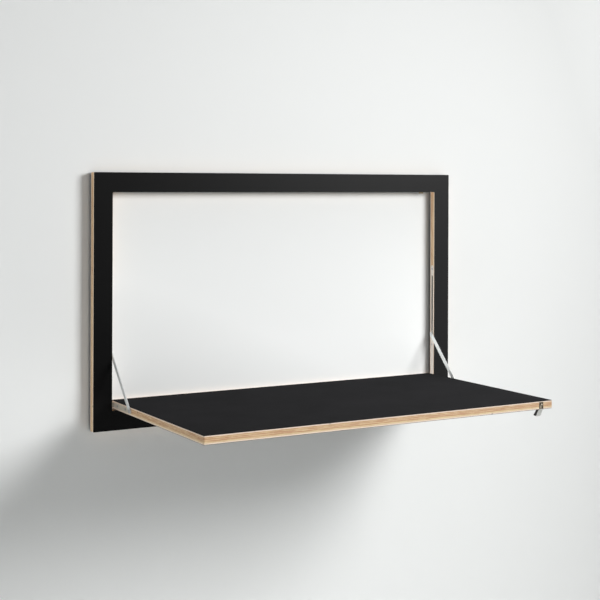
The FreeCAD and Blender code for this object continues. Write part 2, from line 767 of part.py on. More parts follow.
def hinge_pin(side, name):
    body = new_body("hinge_pin_" + name)
    tip = "flap_gap + bush_length - hinge_pin_end_play"
    turned(body, body.Name + "_outline", [
        ("0", "-hinge_pin_in_flap"),
        ("hinge_pin_radius", "-hinge_pin_in_flap"),
        ("hinge_pin_radius", tip + " - edge_break"),
        ("hinge_pin_radius - edge_break", tip),
        ("0", tip)])
    return stand(body, OUTWARD[side], on_side(side, "flap_side"), "-mid_depth", "hinge_level")


def hinge_washer(side, name):
    body = ring("hinge_washer_" + name, "hinge_pin_radius + seat_clearance", "washer_radius", "0",
                "flap_gap - washer_play")
    return stand(body, OUTWARD[side], on_side(side, "flap_side"), "-mid_depth", "hinge_level")


def stay_pivot(side, name):
    """A shouldered rivet: its collar spaces the stay off the flap and its head keeps it on."""
    body = new_body("stay_pivot_" + name)
    collar = "stay_gap - stay_play"
    head = "stay_gap + stay_thickness + stay_play"
    turned(body, body.Name + "_outline", [
        ("0", "-stay_pivot_length"),
        ("stay_pivot_radius", "-stay_pivot_length"),
        ("stay_pivot_radius", "0"),
        ("stay_pivot_head_radius", "0"),
        ("stay_pivot_head_radius", collar),
        ("stay_pivot_radius", collar),
        ("stay_pivot_radius", head),
        ("stay_pivot_head_radius", head),
        ("stay_pivot_head_radius - edge_break", head + " + stay_pivot_head"),
        ("0", head + " + stay_pivot_head")])
    return stand(body, OUTWARD[side], on_side(side, "flap_side"), "stay_foot", "hinge_level")


def latch_case():
    """A drawn box, open at the front and, for the lever, below, its cheeks notched over the tab."""
    body = new_body("latch_case")
    outline = new_sketch(body, "case_outline", "XZ_Plane")
    draw_rectangle(outline, "-case_width / 2", "0", "case_width / 2", "case_height")
    pad(body, outline, "case_depth", backwards=True)
    inside = new_sketch(body, "case_inside", "XZ_Plane")
    draw_rectangle(inside, "-case_half", "case_wall", "case_half", "case_height - case_wall")
    cut(body, inside, "case_depth - case_wall")
    throat = new_sketch(body, "case_throat_outline", "XY_Plane")
    draw_rectangle(throat, "-case_half", "0", "case_half", "case_throat")
    cut(body, throat, "case_wall", forwards=True)
    notch = new_sketch(body, "cheek_notches", "YZ_Plane")
    draw_rectangle(notch, "0", "0", "cheek_notch_depth", "cheek_notch_height")
    cut(body, notch, "case_width", midplane=True)
    pin_holes = new_sketch(body, "case_pin_holes", "YZ_Plane")
    draw_circle(pin_holes, "latch_pivot_back", "latch_pivot_up", "latch_pin_radius + seat_clearance")
    cut(body, pin_holes, "case_width + 2 * case_wall", midplane=True)
    screw_holes = new_sketch(body, "case_screw_holes", "XZ_Plane")
    for sign in "-+":
        draw_circle(screw_holes, sign + "case_screw_spacing / 2", "case_screw_height",
                    LATCH_SCREW_HOLE)
    cut(body, screw_holes, "case_depth")
    inner_face = value_of(body, "case_depth - case_wall")
    countersink(body, "latch_screw", lambda centre: abs(centre.y - inner_face) < NEAR)
    return stand(body, UPRIGHT[RIGHT], "latch_x", "flap_front", "flap_underside")


def latch_pin():
    body = new_body("latch_pin")
    half = "(case_width / 2 - latch_pin_recess)"
    turned(body, "latch_pin_outline", [
        ("0", "-" + half),
        ("latch_pin_radius", "-" + half),
        ("latch_pin_radius", half),
        ("0", half)])
    return stand(body, OUTWARD[RIGHT], "latch_x", "flap_front + latch_pivot_back",
                 "flap_underside + latch_pivot_up")


def make_flap():
    worktop = flap_sheet("flap_top_laminate", "board_thickness - laminate_thickness", "laminate_thickness")
    ease_rim(worktop, "z", "flap_underside + board_thickness")
    flap_board()
    flap_bottom_laminate()
    for side, name in SIDES:
        hinge_plate(side, name)
        hinge_pin(side, name)
        hinge_washer(side, name)
        stay_pivot(side, name)
    screws("hinge_plate_screws", "plate_screw", "plate_screw_length", OUTWARD[RIGHT],
           ("0", "-mid_depth - hinge_plate_screw_far", "hinge_level"),
           [("Y_Axis", "hinge_plate_screw_far - hinge_plate_screw_near")], top="flap_side", mirrored=True)
    latch_case()
    latch_pin()
    screws("latch_case_screws", "latch_screw", "latch_screw_length", HEAD_FROM_FRONT,
           ("latch_x - case_screw_spacing / 2", "flap_front + case_depth - case_wall",
            "flap_underside + case_screw_height"),
           [("X_Axis", "case_screw_spacing")])


# ---- stays and their guides ----------------------------------------------------------------------

def stay_arm(side, name):
    """A flat bar from the pivot on the flap up to the guide in the rail."""
    body = new_body("stay_arm_" + name)
    outline = new_sketch(body, body.Name + "_outline", "YZ_Plane")
    draw_stadium(outline, ("0", "0"), ("0", "stay_length"), "stay_width / 2")
    draw_circle(outline, "0", "0", "stay_pivot_radius + running_clearance")
    draw_circle(outline, "0", "stay_length", "stay_rivet_radius + seat_clearance")
    pad(body, outline, "stay_thickness", midplane=True)
    face = value_of(body, "stay_thickness / 2")
    round_edges(body, lambda edge: not edge.isClosed() and abs(abs(edge.CenterOfMass.x) - face) < NEAR,
                "edge_break")
    lean = "-atan(stay_reach / stay_height)"
    stand(body, FreeCAD.Rotation(X_AXIS, value_of(body, lean)),
          on_side(side, "stay_inner + stay_thickness / 2"), "stay_foot", "hinge_level")
    bind(body, "Placement.Rotation.Angle", lean)
    return body


def stay_rivet(side, name):
    body = new_body("stay_rivet_" + name)
    turned(body, body.Name + "_outline", [
        ("0", "-stay_rivet_head"),
        ("stay_rivet_head_radius - edge_break", "-stay_rivet_head"),
        ("stay_rivet_head_radius", "0"),
        ("stay_rivet_radius", "0"),
        ("stay_rivet_radius", "stay_thickness"),
        ("0", "stay_thickness")])
    return stand(body, OUTWARD[side], on_side(side, "stay_inner"), "-mid_depth", "stay_level")


def slide_block(side, name):
    """A nylon guide: its neck runs in the rail's slot and its wide foot in the track behind."""
    body = new_body("slide_block_" + name)
    neck = new_sketch(body, body.Name + "_neck", "YZ_Plane", "neck_setback")
    half_neck = "(neck_length - slot_width) / 2 + slot_play"
    draw_stadium(neck, ("0", "-(%s)" % half_neck), ("0", half_neck), "slot_width / 2 - slot_play")
    pad(body, neck, "rail_thickness + block_play - neck_setback")
    foot = new_sketch(body, body.Name + "_foot", "YZ_Plane", "rail_thickness + block_play")
    half_foot = "(block_length - block_width) / 2"
    draw_stadium(foot, ("0", "-" + half_foot), ("0", half_foot), "block_width / 2")
    pad(body, foot, "block_depth")
    bore = new_sketch(body, body.Name + "_bore", "YZ_Plane")
    draw_circle(bore, "0", "0", "stud_radius + seat_clearance")
    cut(body, bore, "stud_depth", forwards=True)
    return stand(body, UPRIGHT[side], on_side(side, "opening_side"), "-mid_depth", "stay_level")


def slide_stud(side, name):
    """The guide's steel stud, which ends just short of the stay's rivet."""
    body = new_body("slide_stud_" + name)
    tip = "-(flap_gap - stay_gap - stay_thickness - open_pivot_gap)"
    turned(body, body.Name + "_outline", [
        ("0", tip),
        ("stud_radius", tip),
        ("stud_radius", "-stud_flange_gap - stud_flange"),
        ("stud_flange_radius", "-stud_flange_gap - stud_flange"),
        ("stud_flange_radius", "-stud_flange_gap"),
        ("stud_radius", "-stud_flange_gap"),
        ("stud_radius", "stud_depth"),
        ("0", "stud_depth")])
    return stand(body, OUTWARD[side], on_side(side, "opening_side"), "-mid_depth", "stay_level")


def make_stays():
    for side, name in SIDES:
        stay_arm(side, name)
        stay_rivet(side, name)
        slide_block(side, name)
        slide_stud(side, name)


# ---- latch ---------------------------------------------------------------------------------------

def lever_tab(body):
    """The finger tab: narrower towards its end, slanted back and hollowed for a fingertip."""
    front = new_sketch(body, "tab_front", "XZ_Plane")
    draw_polygon(front, [
        ("-tab_width / 2", "-tab_gap"),
        ("-tab_end_width / 2", "-tab_drop"),
        ("tab_end_width / 2", "-tab_drop"),
        ("tab_width / 2", "-tab_gap")])
    pad(body, front, "lever_wall + tab_slant + tab_depth", backwards=True)
    end = value_of(body, "-tab_drop")
    round_edges(body, lambda edge: runs_along(edge, Y_AXIS) and abs(edge.CenterOfMass.z - end) < NEAR,
                "tab_corner_radius")
    before_tab = new_sketch(body, "before_tab", "YZ_Plane")
    draw_polygon(before_tab, [
        ("0", "-tab_gap"),
        ("lever_wall", "-tab_gap"),
        ("lever_wall + tab_slant", "tab_bevel - tab_drop"),
        ("lever_wall + tab_slant + tab_bevel", "-tab_drop"),
        ("0", "-tab_drop")])
    cut(body, before_tab, "tab_width", midplane=True)
    behind_tab = new_sketch(body, "behind_tab", "YZ_Plane")
    draw_polygon(behind_tab, [
        ("latch_pivot_back + ear_radius", "-tab_gap"),
        ("lever_wall + tab_slant + tab_depth", "-tab_gap"),
        ("lever_wall + tab_slant + tab_depth", "-tab_drop"),
        ("lever_wall + tab_slant + tab_depth - tab_bevel", "-tab_drop"),
        ("lever_wall + tab_slant + tab_depth", "tab_bevel - tab_drop")])
    cut(body, behind_tab, "tab_width", midplane=True)
    fingertip = new_sketch(body, "finger_hollow", "YZ_Plane")
    slope = "(tab_drop - tab_gap - tab_bevel) / sqrt((tab_drop - tab_gap - tab_bevel) ^ 2 + tab_slant ^ 2)"
    away = "(finger_hollow_radius - finger_hollow_depth)"
    draw_circle(fingertip, "lever_wall + tab_slant / 2 - %s * %s" % (away, slope),
                "-(tab_drop + tab_gap - tab_bevel) / 2 - %s * sqrt(1 - (%s) ^ 2)" % (away, slope),
                "finger_hollow_radius")
    cut(body, fingertip, "tab_width", midplane=True)


def latch_lever():
    """A cast lever: two ears on the pin, a tongue with the nose between them, and the finger tab."""
    body = new_body("latch_lever")
    lever_tab(body)
    ears = new_sketch(body, "lever_ears", "YZ_Plane")
    draw_stadium(ears, ("latch_pivot_back", "-tab_gap"), ("latch_pivot_back", "latch_pivot_up"), "ear_radius")
    pad(body, ears, "lever_width", midplane=True)
    hollow = new_sketch(body, "lever_hollow", "YZ_Plane")
    draw_polygon(hollow, [
        ("2 * lever_wall", "latch_pivot_up + ear_radius"),
        ("2 * lever_wall", "-tab_gap"),
        ("2 * lever_wall + tab_slant", "lever_wall - tab_drop"),
        ("lever_wall + tab_slant + tab_depth", "lever_wall - tab_drop"),
        ("lever_wall + tab_slant + tab_depth", "latch_pivot_up + ear_radius")])
    cut(body, hollow, "lever_width - 2 * lever_wall", midplane=True)
    tongue = new_sketch(body, "lever_tongue", "YZ_Plane")
    draw_polygon(tongue, [
        ("lever_wall", "-tab_gap"),
        ("2 * lever_wall", "-tab_gap"),
        ("2 * lever_wall", "nose_high"),
        ("lever_wall", "nose_high + nose_crest"),
        ("nose_land - nose_reach", "nose_high"),
        ("-nose_reach", "nose_low"),
        ("lever_wall - nose_undercut", "nose_low - nose_undercut")])
    pad(body, tongue, "tongue_width", midplane=True)
    pin_hole = new_sketch(body, "lever_pin_hole", "YZ_Plane")
    draw_circle(pin_hole, "latch_pivot_back", "latch_pivot_up", "latch_pin_radius + running_clearance")
    cut(body, pin_hole, "case_width", midplane=True)
    return stand(body, UPRIGHT[RIGHT], "latch_x", "flap_front", "flap_underside")


def latch_spring():
    """A torsion spring round the pin, with a leg that bears on the lever and one on the case."""
    body = new_body("latch_spring")
    wire = new_sketch(body, "spring_wire", "XZ_Plane")
    draw_circle(wire, "spring_radius", "-spring_turns * spring_pitch / 2", "spring_wire_radius")
    coil = body.newObject("PartDesign::AdditiveHelix", "spring_coil")
    coil.Profile = wire
    coil.ReferenceAxis = (wire, ["V_Axis"])
    coil.Mode = "pitch-turns-angle"
    bind(coil, "Pitch", "spring_pitch")
    bind(coil, "Turns", "spring_turns")
    doc.recompute()
    lever_leg = new_sketch(body, "spring_lever_leg", "XZ_Plane")
    draw_circle(lever_leg, "spring_radius", "-spring_turns * spring_pitch / 2", "spring_wire_radius")
    pad(body, lever_leg, "latch_pivot_back - 2 * lever_wall - seat_clearance")
    case_leg = new_sketch(body, "spring_case_leg", "XZ_Plane")
    draw_circle(case_leg, "spring_radius", "spring_turns * spring_pitch / 2", "spring_wire_radius")
    pad(body, case_leg, "spring_leg", backwards=True)
    return stand(body, OUTWARD[RIGHT], "latch_x", "flap_front + latch_pivot_back",
                 "flap_underside + latch_pivot_up")


# ---- output --------------------------------------------------------------------------------------

def check_model(bodies):
    for item in doc.Objects:
        if "Invalid" in item.State or "Error" in item.State:
            raise RuntimeError(item.Name + " failed: " + str(item.State))
    for body in bodies:
        shape = body.Shape
        if shape.isNull() or not shape.isValid() or not shape.Solids:
            raise RuntimeError(body.Label + " has no valid solid")


def main():
    make_sizes()
    make_frame()
    make_flap()
    make_stays()
    latch_lever()
    latch_spring()
    doc.recompute()
    bodies = [item for item in doc.Objects if item.TypeId == "PartDesign::Body"]
    check_model(bodies)
    os.makedirs("parts", exist_ok=True)
    for body in bodies:
        body.Shape.exportStep("parts/%s.step" % body.Label)
        print("%-28s %d solid(s) %12.1f mm3" % (body.Label, len(body.Shape.Solids), body.Shape.Volume))


main()
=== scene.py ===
"""The fold-down wall desk, dressed: laminate, plywood edges, steel, nylon and rubber.

Metres, in the part's own frame: +X right, +Y into the wall, +Z up, the origin in the middle of the
frame's back face, and the flap folded down.
"""

import math

import bmesh
import bpy
from mathutils import Matrix, Vector


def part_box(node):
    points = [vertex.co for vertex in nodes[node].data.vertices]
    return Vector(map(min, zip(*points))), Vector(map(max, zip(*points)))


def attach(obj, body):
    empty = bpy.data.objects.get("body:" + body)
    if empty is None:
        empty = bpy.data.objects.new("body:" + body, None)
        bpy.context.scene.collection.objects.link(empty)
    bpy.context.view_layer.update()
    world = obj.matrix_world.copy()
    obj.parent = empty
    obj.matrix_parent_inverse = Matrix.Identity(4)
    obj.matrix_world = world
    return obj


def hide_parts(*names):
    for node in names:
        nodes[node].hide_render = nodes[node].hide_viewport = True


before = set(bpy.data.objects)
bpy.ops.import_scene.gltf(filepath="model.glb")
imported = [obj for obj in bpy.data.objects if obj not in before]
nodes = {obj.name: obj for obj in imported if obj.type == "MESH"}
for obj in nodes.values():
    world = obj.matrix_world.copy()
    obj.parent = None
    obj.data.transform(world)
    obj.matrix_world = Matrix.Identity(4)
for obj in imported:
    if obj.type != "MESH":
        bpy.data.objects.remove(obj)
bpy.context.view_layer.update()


def opaque(red, green, blue):
    return (red, green, blue, 1.0)


# ---- sizes, tones and places ---------------------------------------------------------------------

MM = 0.001
SIDES = ("left", "right")
CORNERS = ("bottom_left", "bottom_right", "top_left", "top_right")

# Laminate: the tone, gloss and roughness of its face, and the core that its cut edge shows.
SHEET_TONE = 0.002
SHEET_GLOSS = 0.072
SHEET_ROUGH = 0.42
# The worktop's laminate is the frame's, painted lighter as a painted sheen, with its gloss taken off.
WORKTOP_PAINTED_SHEEN_TONE = 0.027
WORKTOP_GLOSS = 0.0
WORKTOP_ROUGH = 0.6
LAMINATE_CORE = opaque(0.026, 0.019, 0.012)
PEBBLE_SCALE = 2600
PEBBLE_DEPTH = 0.02 * MM
MARK_SCALE = 7
MARK_ROUGH = 0.05

# Plywood: its plies, the wave in them, and how many of them each pale outer veneer takes.
PLIES = 9
PLY_WAVE = 0.3
WAVE_SCALE = (26.0, 26.0, 26.0)
VENEER_PLIES = 1.25
GLUE_LINE = 0.44
PLYWOOD_GLOSS = 0.3
FIBRES_ACROSS = 1100.0
FIBRES_ALONG = 22.0
FIBRE_DEPTH = 0.05 * MM
FIGURE_SCALE = 30.0
FIGURE_STEP = 2.7
FIGURE_STRENGTH = 2.4
KNOT_SCALE = (26.0, 30.0, 30.0)
KNOT_NARROWING = 9.0
KNOT_SHADE = 0.7
GLUE_SHADE = 0.3
# How dark the painted shade is in the groove behind the slide rails.
GROOVE_PAINTED_SHADE = 0.9
CORE_PALE = opaque(0.74, 0.58, 0.35)
CORE_WARM = opaque(0.47, 0.255, 0.105)
CORE_ROSY = opaque(0.53, 0.30, 0.18)
VENEER_PALE = opaque(0.90, 0.76, 0.65)
VENEER_WARM = opaque(0.66, 0.49, 0.36)
FRAME_PALE = 1.15
FLAP_PALE = 0.83
# The flap's edge is painted darker towards +X, as painted shade against the key lamp's stronger light
# there.
FLAP_PAINTED_SHADE_RIGHT = 0.36

# The groove behind each slide rail, painted dark as shade: from just inside the rail's face and edges into
# the stile.
TRACK_BEHIND = 0.8 * MM
TRACK_EDGE = 0.5 * MM
TRACK_DEPTH = 20 * MM

# Metals, nylon and rubber.
RAIL_STEEL = (0.72, 0.64, 0.57)
HINGE_PLATE_STEEL = (0.66, 0.60, 0.50)
STAY_STEEL = (0.79, 0.81, 0.80)
RIVET_STEEL = (0.68, 0.69, 0.70)
PIN_STEEL = (0.55, 0.55, 0.55)
SPRING_STEEL = (0.45, 0.45, 0.46)
SCREW_ZINC = (0.50, 0.50, 0.50)
HANGER_ZINC = (0.58, 0.58, 0.57)
LATCH_BRONZE = (0.13, 0.10, 0.06)
BUSH_BRASS = (0.66, 0.48, 0.22)
TAB_FACE = (0.46, 0.46, 0.44)
# Painted shade on the tab's faces towards ±X.
TAB_SIDES_PAINTED_SHADE = (0.03, 0.03, 0.03)
LEVER_STEM = (0.15, 0.125, 0.09)
NYLON = (0.70, 0.68, 0.62)
RUBBER = (0.03, 0.03, 0.03)
SCRATCHES_ACROSS = 5200.0
SCRATCHES_ALONG = 30.0
SCRATCH_DEPTH = 0.006 * MM
SHEEN_SCALE = 28
METAL_GRAIN = 3800
METAL_GRAIN_DEPTH = 0.008 * MM
STAIN_SCALE = 160
SKIN_SCALE = 1900
NYLON_DEPTH = 0.01 * MM
RUBBER_DEPTH = 0.03 * MM
CAST_GRAIN = 2400
CAST_DEPTH = 0.01 * MM
STEM_FADE = 0.5 * MM

# The lever's finger tab: where it starts to grow below the flap, over what height, and how much.
FLARE_START = 0.9 * MM
FLARE_DROP = 13.0 * MM
FLARE_CUTS = 3
TAB_STRAIGHTEN = 0.08
TAB_WIDEN = 1.55
TAB_DEEPEN = 1.32
TAB_LENGTHEN = 1.14
SAME_POINT = 0.001 * MM
ON_CUT = 0.0001 * MM
SHARP_EDGE = math.radians(12)

# The room: the wall's paint, with painted light and shade that change slowly across it and painted light
# inside the frame's opening, and the floor at desk height below.
ROOM_WIDTH = 9.0
DESK_HEIGHT = 0.75
WALL_COLOUR = opaque(0.985, 1.0, 0.99)
WALL_TONE = 0.776
WALL_PAINTED_LIGHT_RIGHT = -0.343
WALL_PAINTED_LIGHT_UP = -0.140
WALL_PAINTED_LIGHT_BOW_RIGHT = -0.092
WALL_PAINTED_LIGHT_BOW_UP = -0.024
WALL_PAINTED_LIGHT_TWIST = -0.088
WALL_PALEST = 0.97
WALL_DARKEST = 0.45
OPENING_REACH = (0.475, 0.272)
# Painted light inside the frame's opening, more towards its bottom.
OPENING_PAINTED_LIGHT = 0.141
OPENING_PAINTED_LIGHT_SLOPE = 0.771
FLOOR_COLOUR = opaque(0.78, 0.79, 0.785)
FLOOR_SEEN = 0.12
PAINT_ROUGH = 0.95

# Each lamp: where it stands, what it faces, its width, its height and its power in watts.
LAMPS = {
    "key": ((1.5, -1.83, 0.9), (0.0, 0.0, 0.0), 1.1, 1.0, 71),
    "left_fill": ((-4.4, -1.9, -0.4), (0.0, 0.0, -0.1), 2.2, 1.6, 48),
    "front_fill": ((0.0, -3.0, -0.36), (0.0, 0.0, -0.1), 0.9, 0.9, 7),
    "back_light": ((0.0, 2.2, -0.6), (0.0, 0.0, -0.1), 1.6, 0.7, 34),
    "sheen_card": ((2.3, -2.3, -0.45), (0.3, 0.0, -0.1), 1.4, 1.4, 32),
}
SKY_LIGHT = 0.14
SKY_SEEN = 0.69
SKY_MIRRORED = 0.2

EYE = Vector((-1.5772, -2.8324, 0.2732))
EYE_TURN = math.radians(29.93)
EYE_TILT = math.radians(0.22)
SENSOR = 36
LENS = 78.2
RISE = -0.1942


# ---- shader building -----------------------------------------------------------------------------

class Wire:
    """The output of a node, which adds a Math node whenever it is calculated with."""

    def __init__(self, graph, socket):
        self.graph = graph
        self.socket = socket

    def maths(self, operation, *values):
        return self.graph.maths(operation, *values)

    def __add__(self, other):
        return self.maths("ADD", self, other)

    def __sub__(self, other):
        return self.maths("SUBTRACT", self, other)

    def __rsub__(self, other):
        return self.maths("SUBTRACT", other, self)

    def __mul__(self, other):
        return self.maths("MULTIPLY", self, other)

    def __truediv__(self, other):
        return self.maths("DIVIDE", self, other)

    def __mod__(self, other):
        return self.maths("FLOORED_MODULO", self, other)

    def __gt__(self, other):
        return self.maths("GREATER_THAN", self, other)

    def __lt__(self, other):
        return self.maths("LESS_THAN", self, other)

    def __abs__(self):
        return self.maths("ABSOLUTE", self)

    def floor(self):
        return self.maths("FLOOR", self)

    def at_least(self, other):
        return self.maths("MAXIMUM", self, other)

    def at_most(self, other):
        return self.maths("MINIMUM", self, other)

    __radd__ = __add__
    __rmul__ = __mul__


class Graph:
    """A node tree, of a material or of the world."""

    def __init__(self, tree):
        self.tree = tree

    def maths(self, operation, *values):
        return self.node("Math", dict(enumerate(values)), operation=operation)

    def node(self, kind, inputs, output=0, **settings):
        """A new node: its settings first, then the values or wires of its sockets."""
        node = self.tree.nodes.new("ShaderNode" + kind)
        for name, value in settings.items():
            setattr(node, name, value)
        for name, value in inputs.items():
            self.feed(node.inputs[name], value)
        return Wire(self, node.outputs[output])

    def feed(self, socket, value):
        if isinstance(value, Wire):
            self.tree.links.new(value.socket, socket)
        else:
            socket.default_value = value


class Finish(Graph):
    """A material and the node tree of its surface."""

    def __init__(self, name, metallic=0.0):
        self.material = bpy.data.materials.new(name)
        self.material.use_nodes = True
        super().__init__(self.material.node_tree)
        self.surface = self.tree.nodes["Principled BSDF"]
        self.surface.inputs["Metallic"].default_value = metallic
        self.place = self.node("TexCoord", {}, output="Object")
        self.facing = self.node("TexCoord", {}, output="Normal")

    def parts(self, vector):
        """The X, Y and Z of a vector."""
        split = self.tree.nodes.new("ShaderNodeSeparateXYZ")
        self.tree.links.new(vector.socket, split.inputs[0])
        return [Wire(self, output) for output in split.outputs]

    def stretched(self, scale, turn=(0, 0, 0)):
        """The place on the piece, turned and then scaled along each axis."""
        turned = self.node("Mapping", {"Vector": self.place, "Rotation": turn})
        return self.node("Mapping", {"Vector": turned, "Scale": scale})

    def noise(self, vector, scale=1.0, detail=2.0, roughness=0.5):
        return self.node("TexNoise", {"Vector": vector, "Scale": scale, "Detail": detail,
                                      "Roughness": roughness})

    def blend(self, factor, first, second):
        """A colour between two colours."""
        return self.node("Mix", {0: factor, 6: first, 7: second}, output=2, data_type="RGBA")

    def tint(self, colour, factor):
        """A colour made lighter or darker by a number."""
        grey = self.node("CombineColor", {0: factor, 1: factor, 2: factor})
        return self.node("Mix", {0: 1.0, 6: colour, 7: grey}, output=2, data_type="RGBA",
                         blend_type="MULTIPLY")

    def spread(self, value, low, high):
        """A number from 0 to 1 spread from low to high."""
        return value * (high - low) + low

    def shades(self, factor, tone, darkest):
        """A tone, down to its darkest share of itself."""
        return self.blend(factor, opaque(*[level * darkest for level in tone]), opaque(*tone))

    def set(self, colour, roughness, height, depth):
        """Feeds the surface; height is a relief and depth its size in metres."""
        self.feed(self.surface.inputs["Base Color"], colour)
        self.feed(self.surface.inputs["Roughness"], roughness)
        bump = self.node("Bump", {"Height": height, "Distance": depth, "Strength": 1.0})
        self.feed(self.surface.inputs["Normal"], bump)
        return self.material


# ---- finishes ------------------------------------------------------------------------------------

def laminate(name, sheet_axis, tone=SHEET_TONE, gloss=SHEET_GLOSS, rough=SHEET_ROUGH):
    """Matte black laminate: a fine pebbled face, faint handling marks and a brown-black core."""
    finish = Finish(name)
    pebbles = finish.noise(finish.place, PEBBLE_SCALE, 3)
    marks = finish.noise(finish.place, MARK_SCALE, 4, 0.6)
    on_face = abs(finish.parts(finish.facing)["xyz".index(sheet_axis)]) > 0.5
    face = finish.tint(opaque(tone, tone, tone * 1.05), finish.spread(marks, 0.8, 1.2))
    colour = finish.blend(on_face, LAMINATE_CORE, face)
    finish.surface.inputs["Specular IOR Level"].default_value = gloss
    roughness = finish.spread(marks, rough - MARK_ROUGH, rough + MARK_ROUGH)
    return finish.set(colour, roughness, pebbles, PEBBLE_DEPTH)


def fibres(finish, grain):
    """Long fine fibres along one axis."""
    scale = [FIBRES_ACROSS, FIBRES_ACROSS, FIBRES_ACROSS]
    scale["xyz".index(grain)] = FIBRES_ALONG
    return finish.noise(finish.stretched(scale), 1.0, 3, 0.6)


def inside_box(place, low, high):
    """1 between two corners and 0 elsewhere, the same on the left as on the right."""
    inside = 1.0
    for part, start, end in zip([abs(place[0])] + place[1:], low, high):
        inside = (part > start) * (part < end) * inside
    return inside


def plywood(name, layer_axis, box, face_grain="x", pale=1.0, painted_shade_right=0.0, groove=None):
    """Birch plywood seen on its edges: pale outer veneers, a warmer core of crossed plies, small knots.

    pale lightens the whole sheet, fade darkens it towards +X as painted shade against the key lamp's
    stronger light there, and groove is a box whose cut walls are painted dark as shade.
    """
    finish = Finish(name)
    finish.surface.inputs["Specular IOR Level"].default_value = PLYWOOD_GLOSS
    index = "xyz".index(layer_axis)
    other_grain = "xyz".replace(layer_axis, "").replace(face_grain, "")
    thickness = (box[1][index] - box[0][index]) / PLIES
    place = finish.parts(finish.place)
    facing = finish.parts(finish.facing)

    # Which ply a point is in, and where in that ply.
    wave = finish.noise(finish.stretched(WAVE_SCALE), 1.0, 2)
    across = (place[index] - box[0][index]) / thickness + (wave - 0.5) * PLY_WAVE
    ply = across.floor().at_least(0.0).at_most(PLIES - 1)
    within = across - ply
    outer = abs(across - PLIES / 2) > PLIES / 2 - VENEER_PLIES

    # Every other ply lies along the face's grain, and shows its ends on the edges across it.
    along_face = (ply % 2) < 0.5
    grain_face = fibres(finish, face_grain)
    grain_other = fibres(finish, other_grain)
    streak = grain_other + along_face * (grain_face - grain_other)
    end_face = abs(facing["xyz".index(face_grain)])
    end_other = abs(facing["xyz".index(other_grain)])
    end_grain = end_other + along_face * (end_face - end_other)

    # The wood's colour: each ply has a tone of its own and a slow figure along it.
    own_tone = finish.node("TexWhiteNoise", {"W": ply + 3.0}, noise_dimensions="1D")
    rosy = finish.node("TexWhiteNoise", {"W": ply + 11.0}, noise_dimensions="1D")
    leaf = [part * FIGURE_SCALE for part in place]
    leaf[index] = ply * FIGURE_STEP
    figure = finish.noise(finish.node("CombineXYZ", dict(enumerate(leaf))), 1.0, 4, 0.6)
    lower_plies = ply < 2.5
    core = own_tone * 0.45 + end_grain * 0.2 + streak * 0.55 + (figure - 0.5) * FIGURE_STRENGTH
    core = core - lower_plies * 0.4
    colour = finish.blend(core, CORE_PALE, finish.blend(rosy, CORE_WARM, CORE_ROSY))
    veneer = finish.blend(streak * 0.5 + end_grain * 0.15, VENEER_PALE, VENEER_WARM)
    colour = finish.blend(outer * 0.95, colour, veneer)

    # What darkens it: glue lines and knots, and painted shade towards +X and in the groove.
    glue = (abs(within - 0.5) > GLUE_LINE) * GLUE_SHADE
    knots = finish.node("TexVoronoi", {"Vector": finish.stretched(KNOT_SCALE), "Scale": 1.0})
    knot = (1.0 - knots * KNOT_NARROWING).at_least(0.0)
    shade = (1.0 - glue) * (1.0 - knot * KNOT_SHADE) * (pale - place[0] * painted_shade_right)
    if groove:
        shade = shade * (1.0 - inside_box(place, *groove) * GROOVE_PAINTED_SHADE)
    colour = finish.tint(colour, shade)
    height = streak * (end_grain * 1.5 + 0.6) + glue * -2.0
    return finish.set(colour, finish.spread(streak, 0.55, 0.75), height, FIBRE_DEPTH)


def brushed(name, tone, run, turn=(0, 0, 0), smooth=0.26, rough=0.42, metallic=1.0):
    """Steel brushed along one axis: fine long scratches and a slow change of sheen."""
    finish = Finish(name, metallic=metallic)
    scale = [SCRATCHES_ACROSS, SCRATCHES_ACROSS, SCRATCHES_ACROSS]
    scale["xyz".index(run)] = SCRATCHES_ALONG
    scratch = finish.noise(finish.stretched(scale, turn), 1.0, 3, 0.65)
    sheen = finish.noise(finish.place, SHEEN_SCALE, 3)
    roughness = finish.spread(scratch * 0.6 + sheen * 0.4, smooth, rough)
    return finish.set(finish.shades(scratch, tone, 0.88), roughness, scratch, SCRATCH_DEPTH)


def turned_metal(name, tone, smooth=0.25, rough=0.40, metallic=1.0):
    """Turned or plated metal: a fine even grain with a little staining."""
    finish = Finish(name, metallic=metallic)
    grain = finish.noise(finish.place, METAL_GRAIN, 2)
    stain = finish.noise(finish.place, STAIN_SCALE, 4, 0.6)
    roughness = finish.spread(stain * 0.5 + grain * 0.5, smooth, rough)
    return finish.set(finish.shades(stain, tone, 0.78), roughness, grain, METAL_GRAIN_DEPTH)


def moulded(name, tone, rough, relief):
    """Moulded nylon or rubber: a dull skin, slightly uneven in tone."""
    finish = Finish(name)
    skin = finish.noise(finish.place, SKIN_SCALE, 3)
    cloud = finish.noise(finish.place, 120, 3)
    roughness = finish.spread(skin, rough - 0.08, rough + 0.06)
    return finish.set(finish.shades(cloud, tone, 0.82), roughness, skin, relief)


